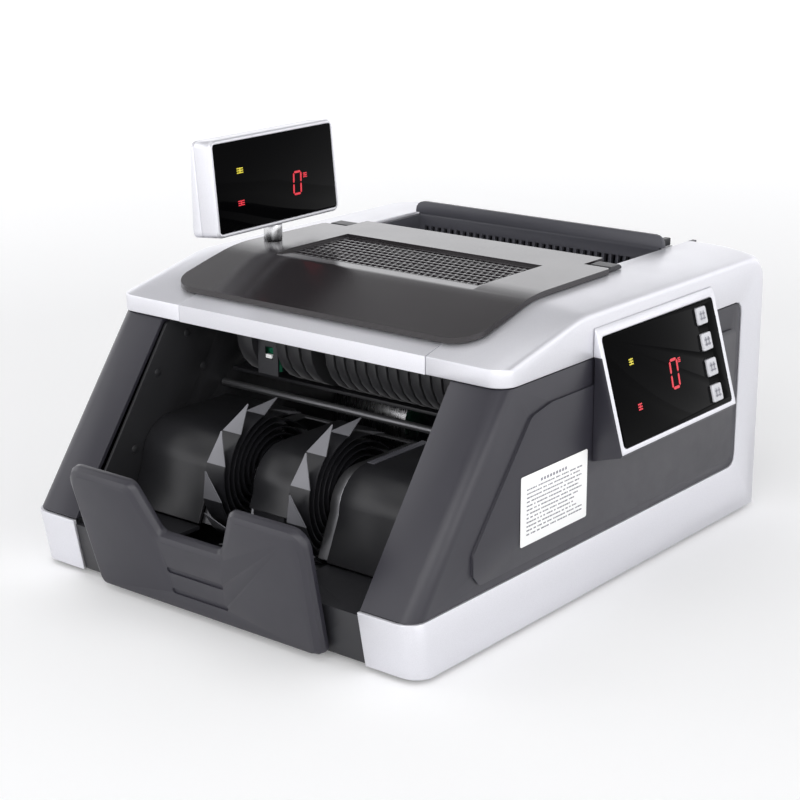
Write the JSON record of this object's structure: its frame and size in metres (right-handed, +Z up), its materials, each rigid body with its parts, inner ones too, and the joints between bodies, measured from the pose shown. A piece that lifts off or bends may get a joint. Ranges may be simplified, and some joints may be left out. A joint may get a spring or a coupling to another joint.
{
  "type": "banknote counting machine",
  "caption": "Desktop banknote counter with a top hopper, an open front stacker with vaned wheels, a side display with keys and a swivelling remote display on a post.",
  "frame": {"origin": "middle of the object's box, on the surface that the feet stand on", "axes": "+X to the right as seen from the stacker, towards the side with the display and keys; -Y out of the stacker's front; +Z up"},
  "size_m": [0.2901, 0.3532, 0.2291],
  "materials": {
    "silver": "moulded ABS with a satin silver metallic paint",
    "graphite": "dark graphite moulded ABS, satin",
    "black": "black moulded plastic, fine texture",
    "lid": "black moulded plastic, half gloss",
    "display_window": "dark tinted acrylic, polished",
    "key": "light grey key caps, satin",
    "steel": "bright ground steel",
    "motor": "zinc plated motor can",
    "chassis": "black coated sheet steel, matt",
    "rubber": "black rubber, matt",
    "label": "white film sticker",
    "board": "green circuit board"
  },
  "bodies": {
    "machine": {"base_pan": "black", "foot_front_left": "rubber", "foot_front_right": "rubber", "foot_rear_left": "rubber", "foot_rear_right": "rubber", "left_shell": "silver", "right_shell": "silver", "left_side_panel": "graphite", "right_side_panel": "graphite", "rear_cover": "graphite", "power_inlet": "black", "chassis_plate_left": "chassis", "chassis_plate_right": "chassis", "cross_rod": "steel", "note_guide": "black", "sensor_board": "board", "main_board": "board", "lid_pin_left": "steel", "lid_pin_right": "steel", "hopper": "black", "retard_roller": "rubber", "main_motor": "motor", "stacker_motor": "motor", "drive_belt": "rubber", "stacker_belt": "rubber", "feed_belt": "rubber", "fender_left": "graphite", "fender_right": "graphite", "fender_middle": "graphite", "slot_liner": "steel", "display_housing": "silver", "display_window": "display_window", "label": "label"},
    "lid": {"front_cover": "silver", "top_lid": "lid", "display_post": "steel"},
    "remote_display": {"remote_display_front": "silver", "remote_display_back": "silver", "remote_display_window": "display_window"},
    "tray": {"catch_tray": "graphite"},
    "knob": {"thickness_knob": "black"},
    "transport": {"transport_shaft": "steel", "transport_drum_right": "rubber", "transport_drum_left": "rubber", "transport_pulley": "black"},
    "pinch": {"pinch_roller": "rubber"},
    "feed": {"feed_shaft": "steel", "feed_roller": "rubber", "feed_pulley": "black"},
    "main_drive": {"motor_pulley": "steel"},
    "stacker": {"stacker_shaft": "steel", "stacker_wheel_left": "rubber", "stacker_wheel_right": "rubber", "stacker_pulley": "black"},
    "stacker_drive": {"stacker_motor_pulley": "steel"},
    "switch": {"power_switch": "black"},
    "key_a": {"key_1": "key"},
    "key_b": {"key_2": "key"},
    "key_c": {"key_3": "key"},
    "key_d": {"key_4": "key"}
  },
  "joints": [
    {"name": "lid_hinge", "type": "hinge", "parent": "machine", "child": "lid", "pos_m": [-0.00975, 0.0644, 0.1535], "axis": [-1, 0, 0], "range_deg": [0, 60]},
    {"name": "remote_display_swivel", "type": "hinge", "parent": "lid", "child": "remote_display", "pos_m": [-0.10375, 0.0004, 0.2013], "axis": [0, 0, 1], "range_deg": [-45, 45]},
    {"name": "tray_hinge", "type": "hinge", "parent": "machine", "child": "tray", "pos_m": [-0.00975, -0.1561, 0.0075], "axis": [1, 0, 0], "range_deg": [0, 60]},
    {"name": "thickness_knob_turn", "type": "hinge", "parent": "machine", "child": "knob", "pos_m": [-0.00975, 0.1544, 0.1555], "axis": [0, 0, 1], "range_deg": [-135, 135]},
    {"name": "transport_spin", "type": "hinge", "parent": "machine", "child": "transport", "pos_m": [-0.00975, -0.0336, 0.1245], "axis": [1, 0, 0], "continuous": true},
    {"name": "pinch_spin", "type": "hinge", "parent": "machine", "child": "pinch", "pos_m": [-0.00975, 0.0009, 0.1133], "axis": [1, 0, 0], "continuous": true},
    {"name": "feed_spin", "type": "hinge", "parent": "machine", "child": "feed", "pos_m": [-0.00975, 0.0534, 0.1205], "axis": [1, 0, 0], "continuous": true},
    {"name": "main_drive_spin", "type": "hinge", "parent": "machine", "child": "main_drive", "pos_m": [-0.116, 0.0804, 0.0445], "axis": [1, 0, 0], "continuous": true},
    {"name": "stacker_spin", "type": "hinge", "parent": "machine", "child": "stacker", "pos_m": [-0.00975, -0.0836, 0.053], "axis": [1, 0, 0], "continuous": true},
    {"name": "stacker_drive_spin", "type": "hinge", "parent": "machine", "child": "stacker_drive", "pos_m": [-0.116, -0.0016, 0.0325], "axis": [1, 0, 0], "continuous": true},
    {"name": "power_switch_rock", "type": "hinge", "parent": "machine", "child": "switch", "pos_m": [-0.03475, 0.1684, 0.0325], "axis": [-1, 0, 0], "range_deg": [0, 10]},
    {"name": "key_1_press", "type": "slide", "parent": "machine", "child": "key_a", "axis": [-0.9621, 0, -0.2728], "range_m": [0, 0.0006], "stiffness_N_per_m": 400},
    {"name": "key_2_press", "type": "slide", "parent": "machine", "child": "key_b", "axis": [-0.9621, 0, -0.2728], "range_m": [0, 0.0006], "stiffness_N_per_m": 400},
    {"name": "key_3_press", "type": "slide", "parent": "machine", "child": "key_c", "axis": [-0.9621, 0, -0.2728], "range_m": [0, 0.0006], "stiffness_N_per_m": 400},
    {"name": "key_4_press", "type": "slide", "parent": "machine", "child": "key_d", "axis": [-0.9621, 0, -0.2728], "range_m": [0, 0.0006], "stiffness_N_per_m": 400}
  ],
  "couplings": [
    {"joint": "pinch_spin", "follows": "transport_spin", "ratio": -3.0337},
    {"joint": "feed_spin", "follows": "transport_spin", "ratio": 1},
    {"joint": "main_drive_spin", "follows": "transport_spin", "ratio": 1.6},
    {"joint": "stacker_drive_spin", "follows": "stacker_spin", "ratio": 1.5556}
  ]
}
